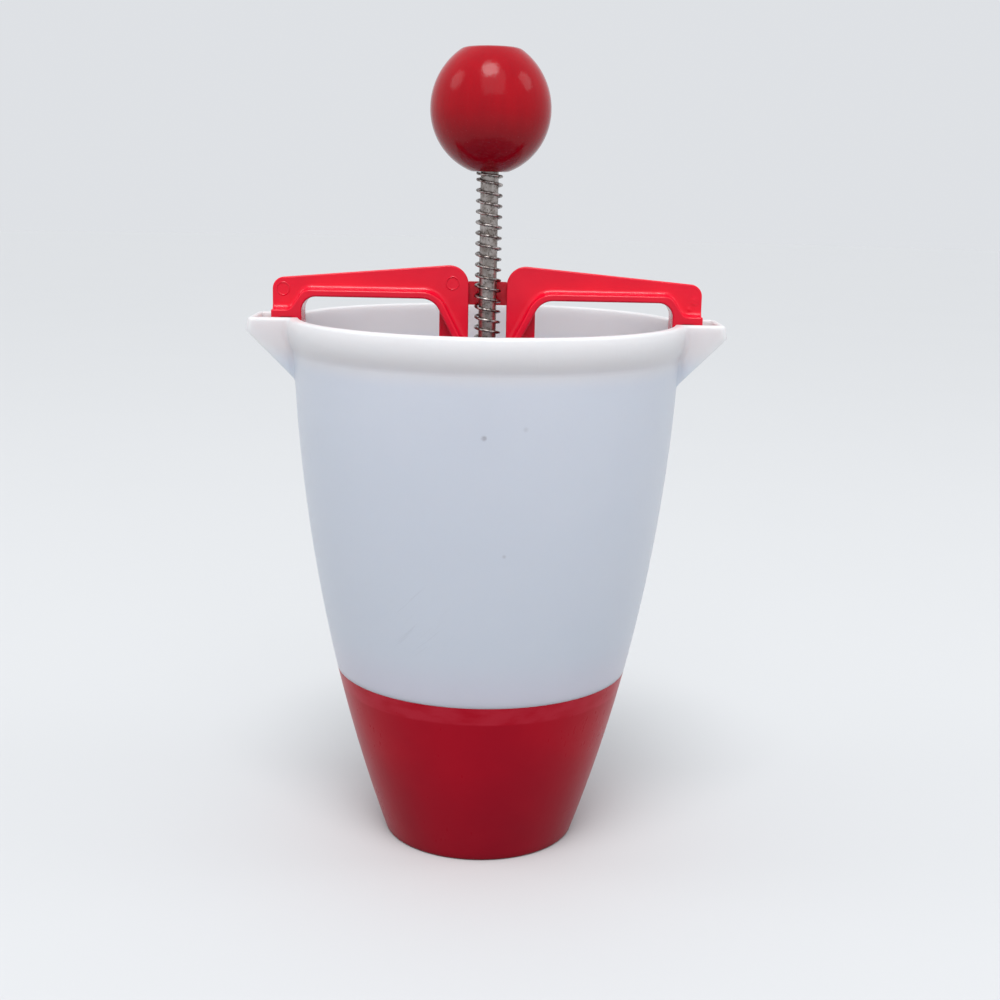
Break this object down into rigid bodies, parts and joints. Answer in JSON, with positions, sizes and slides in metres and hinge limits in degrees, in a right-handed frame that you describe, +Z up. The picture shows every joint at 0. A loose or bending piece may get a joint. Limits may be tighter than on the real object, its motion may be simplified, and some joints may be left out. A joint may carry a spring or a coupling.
{
  "type": "donut dropper",
  "caption": "Hand batter dispenser: a curved conical hopper with a sprung ring valve worked by a knob, standing in a base cup.",
  "frame": {"origin": "centre of the base cup's foot, on the table", "axes": "+Z up along the plunger rod, +X towards one spout, -Y towards the front of the picture"},
  "size_m": [0.1604, 0.134, 0.2704],
  "materials": {
    "red_cup_plastic": "gloss",
    "white_plastic": "semi-gloss",
    "red_bracket_plastic": "gloss",
    "spring_steel": "drawn wire",
    "rod_steel": "drawn bar",
    "painted_wood": "gloss paint",
    "red_valve_plastic": "semi-gloss",
    "fastener_steel": "plated"
  },
  "bodies": {
    "base_cup": {"base_cup": "red_cup_plastic"},
    "hopper": {"hopper": "white_plastic", "bracket": "red_bracket_plastic"},
    "spring": {"spring": "spring_steel"},
    "plunger": {"plunger_rod": "rod_steel", "knob": "painted_wood", "valve_disc": "red_valve_plastic", "valve_washers": "fastener_steel", "lock_nut": "fastener_steel", "cap_nut": "fastener_steel"}
  },
  "joints": [
    {"name": "hopper_lift", "type": "slide", "parent": "base_cup", "child": "hopper", "axis": [0, 0, 1], "range_m": [0, 0.06]},
    {"name": "plunger_press", "type": "slide", "parent": "hopper", "child": "spring", "axis": [0, 0, -1], "range_m": [0, 0.02], "stiffness_N_per_m": 471, "springref_m": -0.01, "deforming": ["spring"]},
    {"name": "plunger_spin", "type": "hinge", "parent": "spring", "child": "plunger", "pos_m": [0, 0, 0.2], "axis": [0, 0, 1], "continuous": true}
  ]
}
